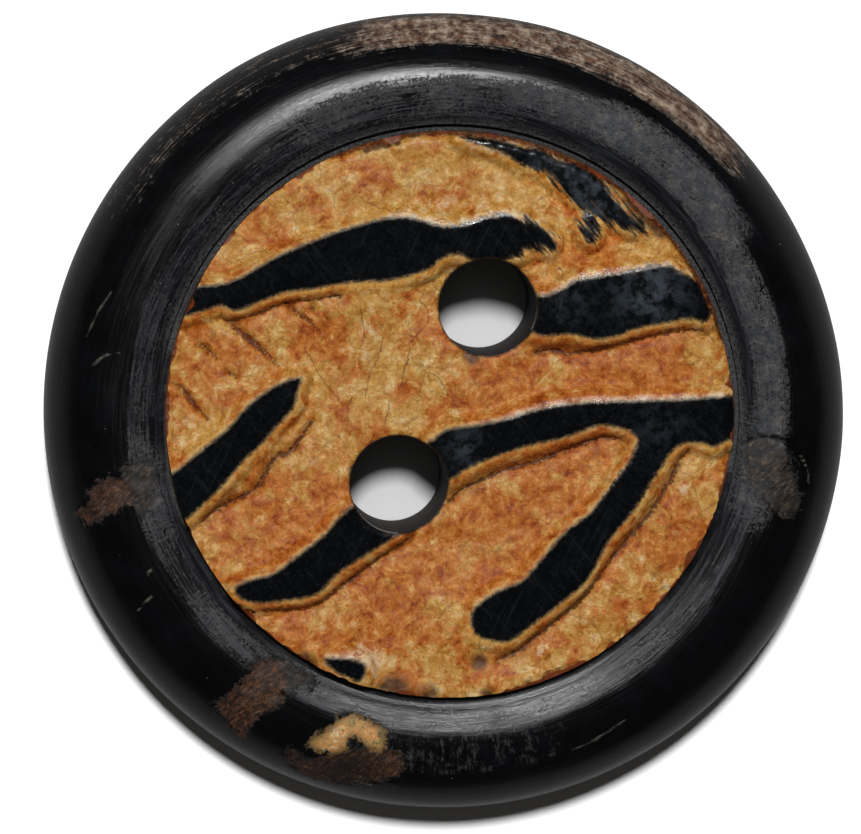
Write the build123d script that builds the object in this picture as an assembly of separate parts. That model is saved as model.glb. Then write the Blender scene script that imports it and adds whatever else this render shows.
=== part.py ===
from build123d import *
import math
import os

# A round two-hole button, turned from one plate of dark natural horn, in millimetres.
# A polished bead forms the rim. Inside it a disc keeps the horn's own bark: a low tan skin
# with raised ridges, whose tops were rubbed flat and show black.
# The origin is the centre of the flat back, and +Z points out of the front.

# Turned rim
button_diameter = 34.0
rim_height = 5.4
rim_width = 5.0  # from the outer edge in to the wall of the disc
widest_height = 2.1  # of the widest place of the bead, above the flat back
bevel_width = 2.2  # straight bevel from the bead's underside in to the flat back
bevel_height = 1.2
slope_width = 1.0  # straight cone inside the bead, left unpolished
slope_angle = 16.0
groove_width = 0.3  # narrow groove round the foot of the disc
groove_depth = 0.35

# Bark disc
bark_below_rim = 0.1
ridge_rise = 0.5
ridge_flank = 0.45  # how much wider a ridge is at the skin than at its flat top
ridge_root = 0.3  # how deep its flanks run on below the skin
split_width = 0.35  # dry splits across the skin
split_depth = 0.25

# Holes
hole_diameter = 4.1
hole_spacing = 8.3
hole_line_angle = 63.3
holes_centre_x = -0.3  # the pair sits a little off the middle
holes_centre_y = 0.85

# Ridges: x and y along the middle of the flat top, as shares of the disc's radius, so that each
# one still runs to the disc's edge when the disc changes, and half the top's width
upper_ridge = [
    (-0.97, 0.39, 0.35),
    (-0.75, 0.43, 0.5),
    (-0.61, 0.48, 0.75),
    (-0.45, 0.53, 1.0),
    (-0.31, 0.57, 1.1),
    (-0.17, 0.59, 1.15),
    (-0.06, 0.60, 0.85),
    (0.08, 0.61, 0.65),
    (0.21, 0.62, 0.7),
    (0.31, 0.61, 0.45),
]
right_ridge = [
    (0.27, 0.35, 0.6),
    (0.37, 0.35, 0.85),
    (0.50, 0.38, 1.2),
    (0.62, 0.39, 1.2),
    (0.74, 0.42, 1.15),
    (0.84, 0.41, 0.9),
    (0.89, 0.39, 0.5),
]
middle_ridge = [
    (-0.08, -0.15, 1.05),
    (0.02, -0.13, 1.1),
    (0.09, -0.11, 0.9),
    (0.18, -0.08, 0.7),
    (0.29, -0.04, 0.7),
    (0.40, -0.02, 0.65),
    (0.52, 0.0, 0.45),
    (0.62, 0.0, 0.6),
    (0.75, -0.02, 0.9),
    (0.88, -0.03, 0.95),
    (1.05, -0.02, 0.9),
]
branch_ridge = [
    (0.73, -0.09, 0.9),
    (0.68, -0.19, 0.6),
    (0.58, -0.30, 0.55),
    (0.49, -0.40, 0.65),
    (0.40, -0.51, 0.8),
    (0.31, -0.61, 0.8),
    (0.22, -0.68, 0.8),
    (0.15, -0.72, 0.7),
]
left_ridge = [
    (-0.54, 0.14, 0.2),
    (-0.58, 0.08, 0.5),
    (-0.65, 0.0, 0.7),
    (-0.72, -0.07, 0.75),
    (-0.80, -0.15, 0.8),
    (-0.88, -0.21, 0.85),
    (-0.95, -0.26, 0.9),
    (-1.03, -0.32, 0.9),
]
lower_ridge = [
    (-0.73, -0.60, 0.3),
    (-0.66, -0.60, 0.55),
    (-0.56, -0.56, 0.8),
    (-0.45, -0.49, 0.95),
    (-0.35, -0.42, 1.0),
    (-0.25, -0.36, 0.95),
]
top_ridge = [
    (0.05, 0.97, 0.2),
    (0.18, 0.94, 0.35),
    (0.30, 0.90, 0.55),
    (0.39, 0.84, 0.7),
    (0.49, 0.76, 0.75),
    (0.60, 0.70, 0.5),
    (0.67, 0.67, 0.25),
]
foot_ridge = [
    (-0.41, -0.88, 0.25),
    (-0.35, -0.89, 0.4),
    (-0.30, -0.91, 0.3),
]
ridges = [
    upper_ridge,
    right_ridge,
    middle_ridge,
    branch_ridge,
    left_ridge,
    lower_ridge,
    top_ridge,
    foot_ridge,
]

# Splits in the skin: both ends, as shares of the disc's radius
splits = [
    ((-0.77, 0.32), (-0.60, 0.17)),
    ((-0.89, 0.26), (-0.75, 0.13)),
    ((-0.94, 0.11), (-0.83, -0.03)),
    ((-0.57, 0.39), (-0.45, 0.29)),
]

# Sizes that follow from the ones above
button_radius = button_diameter / 2
disc_radius = button_radius - rim_width
bead_radius = rim_height - widest_height
crest_radius = button_radius - bead_radius
under_radius = crest_radius + math.sqrt(bead_radius**2 - (widest_height - bevel_height) ** 2)
flat_back_radius = under_radius - bevel_width
slope_foot_radius = disc_radius + groove_width
slope_top_radius = slope_foot_radius + slope_width
slope_top = widest_height + math.sqrt(bead_radius**2 - (slope_top_radius - crest_radius) ** 2)
slope_foot = slope_top - slope_width * math.tan(math.radians(slope_angle))
groove_floor = slope_foot - groove_depth
bark_height = rim_height - bark_below_rim
ridge_height = bark_height + ridge_rise
root_height = bark_height - ridge_root
disc_seat = widest_height  # the disc is one with the plate from here up
clear_height = ridge_height + ridge_rise  # above everything, for cuts that come out of the top


def turned_rim():
    # Half the section, turned round Z: flat back, bevel, bead, cone and groove floor
    bead = ThreePointArc(
        (under_radius, bevel_height),
        (button_radius, widest_height),
        (slope_top_radius, slope_top),
    )
    inside = Polyline(
        (slope_top_radius, slope_top),
        (slope_foot_radius, slope_foot),
        (slope_foot_radius, groove_floor),
        (0, groove_floor),
    )
    back = Polyline((0, groove_floor), (0, 0), (flat_back_radius, 0), (under_radius, bevel_height))
    return revolve(Plane.XZ * make_face([bead, inside, back]), Axis.Z)


def ridge_outline(stations, spread, height):
    # Closed outline round a ridge's middle line, wider than its flat top by the spread
    middle = [Vector(x, y) * disc_radius for x, y, _ in stations]
    reach = [half_width + spread for _, _, half_width in stations]
    middle_line = Spline(*middle)
    along = [middle_line.tangent_at(middle_line.param_at_point(point)) for point in middle]
    across = [direction.rotate(Axis.Z, 90) for direction in along]
    left = [point + side * wide for point, side, wide in zip(middle, across, reach)]
    right = [point - side * wide for point, side, wide in zip(middle, across, reach)]
    tail = middle[0] - along[0] * reach[0]
    nose = middle[-1] + along[-1] * reach[-1]
    return Pos(0, 0, height) * make_face(Spline(tail, *left, nose, *reversed(right), periodic=True))


def ridge(stations):
    # Sloping flanks from below the skin up to the flat top
    foot_spread = ridge_flank * (ridge_rise + ridge_root) / ridge_rise
    foot = ridge_outline(stations, foot_spread, root_height)
    top = ridge_outline(stations, 0, ridge_height)
    return loft([foot, top], ruled=True)


def skin_split(start, end):
    # V-shaped groove in the skin from one end to the other
    start_point = Vector(*start) * disc_radius + Vector(0, 0, bark_height)
    end_point = Vector(*end) * disc_radius + Vector(0, 0, bark_height)
    run = end_point - start_point
    section = Polyline(
        (0, -split_depth),
        (split_width, split_depth),
        (-split_width, split_depth),
        close=True,
    )
    cut_plane = Plane(start_point, x_dir=Vector(0, 0, 1).cross(run), z_dir=run)
    return extrude(cut_plane * make_face(section), run.length)


def upright(radius, low, high):
    # Round bar about Z from one height to another
    bar = Cylinder(radius, high - low, align=(Align.CENTER, Align.CENTER, Align.MIN))
    return Pos(0, 0, low) * bar


def bark_disc():
    # The skin with every ridge on it, turned down together to the disc's wall
    bark = upright(button_radius, disc_seat, bark_height)
    for stations in ridges:
        bark = bark + ridge(stations)
    for start, end in splits:
        bark = bark - skin_split(start, end)
    return bark & upright(disc_radius, disc_seat, clear_height)


def thread_hole(side):
    # Straight hole through the whole button
    angle = math.radians(hole_line_angle)
    x = holes_centre_x + side * hole_spacing / 2 * math.cos(angle)
    y = holes_centre_y + side * hole_spacing / 2 * math.sin(angle)
    return Pos(x, y, 0) * upright(hole_diameter / 2, 0, clear_height)


def make_button():
    button = turned_rim() + bark_disc()
    for side in (-1, 1):
        button = button - thread_hole(side)
    return button


os.makedirs("parts", exist_ok=True)
export_step(make_button(), "parts/button.step")
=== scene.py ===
import math

import bmesh
import bpy
from mathutils import Matrix, Vector, geometry, noise
from mathutils.kdtree import KDTree


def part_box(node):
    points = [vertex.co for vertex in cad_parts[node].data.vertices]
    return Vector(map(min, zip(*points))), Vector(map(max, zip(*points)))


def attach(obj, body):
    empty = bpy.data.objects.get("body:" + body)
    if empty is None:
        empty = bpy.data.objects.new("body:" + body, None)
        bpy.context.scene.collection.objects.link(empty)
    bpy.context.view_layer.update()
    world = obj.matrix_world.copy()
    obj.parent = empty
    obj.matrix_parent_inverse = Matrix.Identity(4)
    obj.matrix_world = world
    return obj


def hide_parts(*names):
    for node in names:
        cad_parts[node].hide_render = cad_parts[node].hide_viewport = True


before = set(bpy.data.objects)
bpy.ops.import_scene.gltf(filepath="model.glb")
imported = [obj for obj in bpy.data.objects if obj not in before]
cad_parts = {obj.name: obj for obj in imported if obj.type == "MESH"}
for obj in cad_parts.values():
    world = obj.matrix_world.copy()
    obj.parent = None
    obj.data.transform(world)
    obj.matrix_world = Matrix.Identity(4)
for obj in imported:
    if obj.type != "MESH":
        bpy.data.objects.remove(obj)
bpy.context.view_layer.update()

mm = 0.001  # lengths are in millimetres until the mesh is finished
buttonLow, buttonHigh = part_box("button")
ridgeTop = buttonHigh.z / mm
print("frame loaded, button", round((buttonHigh.x - buttonLow.x) / mm, 2), "mm across")

turning = {
    "discRadius": 11.9,
    "grooveRadius": 12.2,  # outer side of the groove round the disc
    "grooveFloor": 4.739,
    "coneFoot": 5.06,
    "coneRadius": 13.3,
    "coneTop": 5.376,
    "crestRadius": 13.7,
    "beadRadius": 3.3,
    "beadHeight": 2.1,
    "underHeight": 1.2,
    "backRadius": 14.675,
    "steps": 520,
    "beadSteps": 60,
    "wobble": 0.012,  # how uneven the polished bead is
    "wear": 0.24,  # worn off the outer side at the upper right
    "wearFrom": 14.2,  # radius where that wear begins
    "coneBulge": 0.045,
    "brownDepth": 0.08,  # how deep the places lie where bark was left
    "tanDepth": 0.05,
    "fibreDepth": 0.09,
    "crackDepth": 0.14,
    "scuffDepth": 0.016,
}
drilling = {
    "radius": 2.05,
    "centres": [(1.565, 4.557), (-2.165, -2.857)],
    "backBreak": 0.12,
    "rings": 9,
}
bark = {
    "cell": 0.1,  # size of the squares that carry the relief
    "skin": 5.3,
    "broad": 0.10,  # swells several mm wide
    "middle": 0.05,  # lumps of about 1 mm
    "fine": 0.022,  # crumbs of about 0.3 mm
    "flankUp": 0.52,  # width of a ridge's flank on the side towards +Y
    "flankDown": 0.66,
    "topGap": 0.012,  # the ridge tops stay this far below the solid's
    "facetWidth": 0.27,  # of the worn facet along the shoulders that glitter
    "facetSlope": 0.24,
    "creaseDepth": 0.16,
    "creaseWidth": 0.14,
    "hollowWidth": 0.45,  # of the shallow hollow round a crease
    "gougeDepth": 0.22,
    "lipDrop": 0.07,  # how far the skin dips at the holes
    "lipWidth": 0.2,
    "chamfer": 0.24,  # how far the broken edge of the disc drops
    "chamferWidth": 0.42,
    "edgeRag": 0.13,
    "nick": 0.4,  # how far the disc's edge is nicked inwards
    "nickReach": 0.6,
    "wallSkin": 0.6,  # how far down the disc's wall the bark's colours run
}
farAway = 9  # stands for a distance that isn't measured
smoothAngle = 38  # degrees between faces, from which an edge is sharp

# all curves are listed, x and y in mm from the middle; a third number is half the width there
ridgeOutlines = [
    [(-11.7, 5.3), (-10.7, 5.45), (-9.65, 5.55), (-8.75, 5.85), (-7.35, 6.65), (-5.75, 7.35), (-4.65, 7.75),
     (-2.85, 8.25), (-1.75, 8.3), (-0.45, 7.95), (0.7, 8.0), (1.6, 8.3), (2.5, 8.35), (3.4, 8.05), (4.2, 7.5),
     (4.2, 6.95), (3.4, 7.15), (2.8, 6.75), (1.5, 6.45), (0.7, 6.65), (0.25, 6.85), (-0.45, 6.6), (-1.05, 6.15),
     (-2.55, 5.75), (-3.6, 5.7), (-4.6, 5.6), (-5.75, 5.4), (-6.9, 5.25), (-7.9, 4.9), (-8.95, 4.5),
     (-9.6, 4.7), (-10.7, 4.4), (-11.5, 4.35)],
    [(3.35, 4.85), (4.05, 5.05), (4.7, 5.3), (5.3, 5.65), (6.45, 5.85), (7.5, 6.0), (9.0, 6.25), (9.55, 6.0),
     (10.15, 5.75), (10.7, 5.3), (10.95, 4.7), (10.85, 4.1), (10.6, 3.95), (10.15, 4.1), (9.15, 3.95),
     (7.65, 3.65), (7.05, 3.4), (6.05, 3.25), (5.0, 3.45), (3.85, 3.4), (3.25, 3.75)],
    [(-1.0, -1.25), (-0.7, -0.95), (-0.1, -0.55), (1.3, -0.35), (2.5, -0.1), (3.4, 0.2), (4.7, 0.45),
     (5.95, 0.55), (7.95, 0.6), (9.75, 0.65), (11.2, 0.75), (12.5, 0.75), (12.6, -0.55), (12.05, -0.95),
     (11.5, -1.1), (11.05, -1.3), (10.55, -1.15), (9.85, -1.15), (9.25, -1.5), (8.75, -2.25), (8.25, -3.0),
     (7.7, -3.9), (6.6, -5.3), (5.7, -6.9), (4.5, -7.95), (3.1, -9.0), (2.55, -9.4), (2.05, -9.45),
     (1.2, -9.25), (0.9, -8.8), (0.95, -8.15), (1.75, -7.5), (2.35, -7.2), (3.05, -6.9), (4.05, -5.75),
     (4.9, -4.8), (5.8, -4.15), (6.5, -3.3), (7.25, -2.35), (7.65, -1.7), (7.85, -1.05), (7.55, -0.65),
     (6.9, -0.45), (6.1, -0.4), (4.7, -0.9), (3.1, -1.25), (1.75, -1.7), (0.6, -2.2), (0.1, -2.55),
     (-0.8, -2.75)],
    [(-6.35, 1.65), (-6.45, 1.05), (-6.6, 0.45), (-7.3, -0.35), (-8.0, -1.15), (-8.7, -1.8), (-9.65, -2.9),
     (-10.6, -3.8), (-11.2, -4.25), (-12.2, -4.4), (-12.6, -3.15), (-12.0, -2.55), (-11.45, -2.2),
     (-10.4, -1.35), (-9.3, -0.45), (-8.5, 0.45), (-7.5, 1.2)],
    [(-9.0, -7.1), (-8.3, -6.8), (-7.4, -6.55), (-6.2, -5.65), (-5.3, -4.95), (-4.6, -4.15), (-3.75, -3.6),
     (-2.05, -3.6), (-1.9, -4.65), (-2.4, -5.05), (-3.55, -5.75), (-4.75, -6.55), (-5.65, -7.4), (-6.9, -7.65),
     (-8.05, -7.75), (-8.8, -7.55)],
    [(-5.3, -10.15), (-4.8, -10.15), (-4.1, -10.2), (-3.6, -10.5), (-3.85, -11.1), (-4.4, -10.95),
     (-4.95, -10.6)],
    [(0.42, 11.69), (1.65, 11.6), (2.85, 11.27), (3.82, 11.11), (4.47, 10.68), (5.27, 10.51), (6.08, 10.06),
     (6.64, 9.34), (7.37, 8.53), (8.06, 7.8), (7.43, 7.85), (6.88, 8.06), (6.32, 8.37), (5.76, 8.78),
     (5.27, 9.18), (4.78, 9.58), (4.3, 9.9), (3.98, 10.25), (3.42, 10.39), (2.85, 10.6), (2.36, 10.95),
     (1.72, 11.2), (0.83, 11.5)],
    [(5.5, 8.3), (5.9, 8.3), (6.1, 7.85), (6.0, 7.4), (5.75, 7.4), (5.5, 7.85)],
]
footCreases = [
    [(-5.8, -0.25, 0.03), (-6.3, -0.95, 0.06), (-6.7, -1.45, 0.09), (-7.3, -1.75, 0.07), (-7.7, -2.3, 0.1),
     (-7.9, -2.7, 0.06), (-8.25, -3.1, 0.09), (-8.8, -3.4, 0.06), (-9.3, -3.65, 0.07), (-9.9, -3.95, 0.05),
     (-10.35, -4.4, 0.02)],
    [(-0.05, -3.65, 0.02), (0.4, -3.2, 0.05), (1.2, -2.8, 0.06), (2.15, -2.35, 0.08), (3.0, -2.1, 0.06),
     (3.85, -1.9, 0.07), (4.7, -1.5, 0.09), (5.55, -1.2, 0.07), (6.55, -0.95, 0.05), (7.15, -1.0, 0.02)],
    [(10.15, -1.35, 0.02), (9.7, -1.85, 0.06), (9.25, -2.8, 0.08), (8.75, -3.65, 0.06), (8.3, -4.3, 0.08),
     (7.5, -5.25, 0.09), (6.55, -6.4, 0.07), (5.55, -7.7, 0.1), (4.7, -8.45, 0.09), (3.85, -9.15, 0.07),
     (2.85, -9.95, 0.09), (2.0, -10.35, 0.05)],
    [(3.6, 2.6, 0.04), (4.35, 2.7, 0.08), (5.25, 2.6, 0.06), (6.35, 2.8, 0.09), (7.3, 3.05, 0.07),
     (8.4, 3.3, 0.06), (9.6, 3.55, 0.07), (10.6, 3.55, 0.03)],
    [(-7.9, -8.1, 0.03), (-6.7, -8.1, 0.06), (-5.55, -7.85, 0.08), (-4.6, -7.15, 0.06), (-4.1, -6.85, 0.08),
     (-3.25, -6.15, 0.05), (-2.25, -5.5, 0.06), (-1.55, -5.0, 0.02)],
    [(-9.25, 4.05, 0.03), (-8.15, 4.3, 0.06), (-6.95, 4.75, 0.05), (-5.85, 4.9, 0.04), (-4.6, 5.05, 0.02)],
]
gouges = [
    [(-9.58, 4.14, 0.04), (-8.99, 3.71, 0.12), (-8.4, 3.21, 0.16), (-7.89, 2.78, 0.11), (-7.47, 2.36, 0.08),
     (-7.17, 2.07, 0.02)],
    [(-10.59, 3.16, 0.02), (-10.17, 2.78, 0.08), (-9.75, 2.36, 0.03)],
    [(-9.42, 1.98, 0.02), (-9.15, 1.75, 0.06), (-8.86, 1.55, 0.03)],
    [(-11.6, 1.35, 0.04), (-11.14, 1.1, 0.1), (-10.84, 0.68, 0.13), (-10.51, 0.25, 0.08),
     (-10.13, -0.13, 0.03)],
    [(-6.95, 4.8, 0.05), (-6.5, 4.4, 0.1), (-6.03, 4.05, 0.06), (-5.75, 3.75, 0.05), (-5.46, 3.48, 0.02)],
]
skinCracks = [
    [(-1.11, 5.19, 0.02), (-1.24, 4.8, 0.03), (-0.95, 4.46, 0.03), (-0.95, 3.9, 0.035), (-1.29, 3.54, 0.03),
     (-1.7, 3.04, 0.03), (-1.7, 2.68, 0.035), (-1.9, 2.07, 0.025), (-2.03, 1.35, 0.01)],
    [(-1.03, 1.86, 0.02), (-0.57, 1.65, 0.03), (-0.11, 0.94, 0.04), (0.3, 0.32, 0.02)],
    [(-2.83, 3.19, 0.01), (-2.92, 2.83, 0.02), (-3.08, 2.32, 0.025), (-3.31, 1.91, 0.035), (-3.43, 1.5, 0.03),
     (-3.54, 0.84, 0.01)],
    [(-4.15, 0.68, 0.03), (-4.3, 0.32, 0.04), (-4.28, -0.08, 0.02)],
    [(-2.57, 0.37, 0.02), (-2.77, -0.39, 0.04)],
    [(-6.04, 2.78, 0.02), (-5.79, 2.32, 0.035), (-5.43, 1.65, 0.02), (-5.0, 1.1, 0.01)],
    [(-4.87, 0.94, 0.03), (-4.51, 0.48, 0.02)],
    [(-3.77, 4.57, 0.01), (-3.69, 3.95, 0.025), (-3.64, 3.75, 0.02)],
    [(-1.03, 1.81, 0.01), (-1.29, 1.04, 0.02)],
    [(6.35, 5.8, 0.01), (6.6, 5.25, 0.02), (7.15, 4.55, 0.02), (7.75, 3.7, 0.01)],
    [(5.85, 7.35, 0.05), (6.16, 6.92, 0.02)],
]
brownPlaces = [
    [(-15.01, -2.98), (-14.6, -2.67), (-14.14, -2.49), (-13.72, -2.61), (-13.34, -2.94), (-13.42, -3.53),
     (-13.97, -3.97), (-14.4, -4.2), (-14.85, -4.45), (-15.3, -4.5), (-15.59, -4.1), (-15.2, -3.75),
     (-15.14, -3.33)],
    [(-8.44, -10.54), (-7.93, -10.25), (-7.17, -10.35), (-6.97, -11.76), (-7.55, -12.32), (-8.01, -12.64),
     (-8.42, -13.19), (-8.65, -13.68), (-9.11, -13.34), (-9.46, -12.75), (-9.89, -12.23), (-9.36, -11.66),
     (-8.78, -11.13)],
    [(-6.86, -14.86), (-5.96, -14.55), (-5.22, -14.34), (-4.38, -14.1), (-3.76, -13.92), (-2.75, -14.04),
     (-2.11, -14.26), (-2.13, -15.15), (-3.0, -15.49), (-4.53, -15.65), (-5.79, -15.38)],
    [(-6.65, -13.98), (-6.25, -14.47), (-6.95, -14.66)],
]
tanPlace = [
    [(-5.98, -13.69), (-5.32, -13.24), (-4.6, -12.65), (-4.05, -12.49), (-3.51, -12.74), (-2.87, -13.11),
     (-2.75, -13.7), (-2.87, -14.22), (-3.46, -14.01), (-3.8, -13.71), (-4.01, -13.53), (-4.22, -13.62),
     (-4.34, -14.01), (-4.76, -14.29), (-5.34, -14.26), (-5.81, -14.0)],
]
fibrePlaces = [
    [(-13.72, -2.02), (-12.78, -1.82), (-12.4, -2.04), (-12.36, -2.72), (-12.4, -3.55), (-12.79, -3.96),
     (-13.38, -3.83), (-13.55, -3.2), (-13.88, -2.61)],
    [(-8.4, -10.54), (-7.89, -10.21), (-7.12, -10.19), (-6.44, -10.5), (-5.77, -10.95), (-5.5, -11.1),
     (-5.82, -11.36), (-6.29, -11.35), (-6.63, -11.55), (-7.14, -11.75), (-7.56, -11.31), (-8.06, -11.04)],
    [(12.42, -1.28), (13.16, -1.01), (13.74, -1.26), (14.17, -1.6), (14.43, -2.24), (14.71, -3.18),
     (14.81, -3.79), (14.28, -4.36), (13.54, -4.0), (13.07, -3.37), (12.58, -2.91), (12.35, -1.96)],
]
# a step in the rim at the right, sunk in and painted black as its shadow
rimCracks = [
    [(12.26, -1.24, 0.04), (12.79, -1.02, 0.06), (13.24, -0.96, 0.05)],
    [(13.45, -0.96, 0.06), (14.26, -1.22, 0.13), (14.65, -1.69, 0.12), (14.97, -2.26, 0.05)],
]
rimScratches = [
    [(14.83, -1.79, 0.02), (15.1, -2.31, 0.03), (15.16, -2.99, 0.02)],
    [(-13.11, -8.15, 0.02), (-12.74, -7.74, 0.05), (-12.36, -7.34, 0.02)],
    [(-12.7, -6.6, 0.05), (-12.55, -6.4, 0.05)],
    [(-15.2, 3.3, 0.01), (-14.75, 4.3, 0.02), (-14.1, 5.3, 0.01)],
    [(-14.9, 2.2, 0.02), (-14.4, 2.6, 0.03), (-13.8, 2.7, 0.01)],
    [(5.1, -14.2, 0.02), (6.2, -13.7, 0.03), (7.4, -12.9, 0.02)],
]


def smoothLine(points, closed, spacing=0.03):
    # dense samples of a round curve through the points; z carries the half width
    knots = [Vector((*point, 0)[:3]) for point in points]
    samples = []
    for i in range(len(knots) if closed else len(knots) - 1):
        start, end = knots[i], knots[(i + 1) % len(knots)]
        before = knots[i - 1] if closed or i else start
        after = knots[(i + 2) % len(knots)] if closed or i + 2 < len(knots) else end
        count = max(3, int((end - start).length / spacing))
        leave, arrive = start + (end - before) / 6, end - (after - start) / 6
        samples += geometry.interpolate_bezier(start, leave, arrive, end, count)[:-1]
    return samples if closed else samples + [knots[-1]]


def lineField(lines, closed=False):
    # gives a function that measures from a place to the nearest of the curves: signed distance to its
    # side, distance to its drawn edge, foot on the curve, direction away from it
    feet, sides = [], []
    for points in lines:
        curve = smoothLine(points, closed)
        swept = sum(a.x * b.y - b.x * a.y for a, b in zip(curve, curve[1:] + curve[:1]))
        turn = -1 if closed and swept < 0 else 1
        for i, foot in enumerate(curve):
            ahead = curve[(i + 1) % len(curve)] if closed or i + 1 < len(curve) else foot
            behind = curve[i - 1] if closed or i else foot
            run = ahead - behind
            feet.append(foot)
            sides.append(Vector((run.y, -run.x, 0)).normalized() * turn)
    tree = KDTree(len(feet))
    for i, foot in enumerate(feet):
        tree.insert((foot.x, foot.y, 0), i)
    tree.balance()

    def measure(place):
        foot, index, gap = tree.find((place.x, place.y, 0))
        side = (Vector((place.x, place.y, 0)) - foot).dot(sides[index])
        return math.copysign(gap, side) if closed else side, gap - feet[index].z, foot, sides[index]
    return measure


ridgeField = lineField(ridgeOutlines, closed=True)
footField = lineField(footCreases)
gougeField = lineField(gouges)
crackField = lineField(skinCracks)
brownField = lineField(brownPlaces, closed=True)
tanField = lineField(tanPlace, closed=True)
fibreField = lineField(fibrePlaces, closed=True)
rimCrackField = lineField(rimCracks)
rimScratchField = lineField(rimScratches)
print("curves read")


def soft(low, high, value):
    # 0 below low, 1 above high, round in between
    t = min(1, max(0, (value - low) / (high - low)))
    return t * t * (3 - 2 * t)


def spots(place, places):
    # adds up soft round spots: x, y, radius, amount
    return sum(amount * math.exp(-((place.x - x) ** 2 + (place.y - y) ** 2) / size ** 2)
               for x, y, size, amount in places)


def bands(place, places, blur=6):
    # adds up soft bands round the middle: from and to in degrees, inner and outer radius, amount
    angle, radius = math.degrees(math.atan2(place.y, place.x)), math.hypot(place.x, place.y)
    total = 0
    for start, end, inner, outer, amount in places:
        away = abs((angle - (start + end) / 2 + 180) % 360 - 180)
        along = 1 - soft((end - start) / 2 - blur, (end - start) / 2 + blur, away)
        across = soft(inner - 0.3, inner + 0.3, radius) * (1 - soft(outer - 0.3, outer + 0.3, radius))
        total += amount * along * across
    return total


# x, y, radius, amount; a pit with a negative amount is a swell
pits = [(-5.78, 4.51, 0.2, 0.22), (1.2, -10.4, 0.4, 0.22), (0.6, 2.55, 0.25, 0.15), (1.0, 2.35, 0.2, 0.12),
        (-9.2, -3.5, 0.3, 0.2), (9.9, -3.1, 0.3, -0.1), (3.9, -9.9, 0.3, -0.08), (-5.5, 3.0, 0.7, 0.06),
        (-4.9, 2.0, 0.6, 0.06), (-8.5, 4.0, 0.8, -0.1), (-7.0, 4.4, 1.0, -0.15), (-5.5, 4.8, 1.0, -0.18),
        (-4.0, 5.0, 1.0, -0.18), (-2.5, 5.1, 1.0, -0.18)]
redPlaces = [(4.0, -3.5, 2.6, 0.75), (1.0, -6.0, 2.5, 0.4), (6.8, 1.9, 2.2, 0.6), (1.5, 1.4, 1.6, 0.55),
             (-6.0, -3.8, 2.2, 0.6), (-7.0, 5.6, 1.5, 0.2), (-9.5, 2.3, 1.5, 0.35), (-6.8, -8.8, 1.4, 0.6),
             (-3.8, 1.5, 2.6, -0.45), (1.0, 9.5, 2.6, -0.45), (-4.5, 9.0, 2.5, -0.2), (0.5, -10.5, 2.2, -0.3),
             (9.2, -5.0, 2.2, 0.3), (-10.5, -0.5, 1.2, -0.3), (-2.5, -8.5, 2.0, 0.2), (8.0, 7.2, 1.3, -0.3),
             (-5.4, 3.2, 0.9, 0.7), (-4.9, 2.3, 0.7, 0.7), (8.9, 2.2, 1.2, 0.4),
             (-3.0, -7.5, 2.5, 0.5), (-8.0, -5.5, 2.0, 0.5), (5.5, 2.0, 3.0, 0.4), (-3.5, 10.0, 1.2, 0.5),
             (-0.6, 9.6, 0.8, 0.6)]
dirtPlaces = [(7.7, 8.9, 0.5, 1.0), (8.3, 8.3, 0.5, 1.0), (8.9, 7.7, 0.4, 0.9), (6.9, 9.7, 0.4, 0.6),
              (0.9, 2.5, 0.45, 0.9), (-10.9, 3.4, 0.5, 0.25), (1.2, -10.4, 0.45, 0.9), (-2.4, -11.5, 0.8, 0.9),
              (-0.9, -11.75, 0.5, 0.8), (1.6, -11.75, 0.4, 0.8), (9.9, -3.6, 0.6, 0.3),
              (-6.0, -10.35, 0.5, 0.9), (-5.78, 4.51, 0.16, 0.9), (3.2, -11.4, 0.3, 0.6),
              (-4.1, -2.2, 0.3, 0.6), (-3.5, 11.15, 0.2, 1.0), (-3.1, 11.28, 0.2, 1.0),
              (-2.65, 11.37, 0.2, 1.0), (-2.2, 11.46, 0.18, 0.9)]
# pale places: those just above the ridges at about y 8.6 and at x -3.5, y -10.2 are painted highlights, the
# others rubbed skin
palePlaces = [(-3.8, -10.05, 0.7, 1.0), (-3.1, -10.5, 0.6, 0.7), (9.9, -3.1, 0.3, 0.9), (3.8, -10.0, 0.35, 0.8),
              (-11.0, -0.5, 0.8, 0.5), (-0.5, 8.6, 1.2, 0.6), (1.6, 8.65, 1.0, 0.5), (-10.2, 7.0, 0.8, 0.4),
              (9.0, -7.0, 0.8, 0.4), (0.5, -11.0, 0.6, 0.4), (-3.4, 3.4, 0.9, 0.5), (-3.6, 2.3, 0.6, 0.6)]
fuzzPlaces = [(3.3, 7.6, 1.5, 1.0), (0.6, 8.2, 1.2, 0.4), (5.5, 9.4, 2.4, 1.0), (8.0, 8.0, 1.8, 1.0),
              (7.3, -2.6, 1.2, 0.4), (10.5, 4.6, 0.8, 0.4)]
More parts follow.
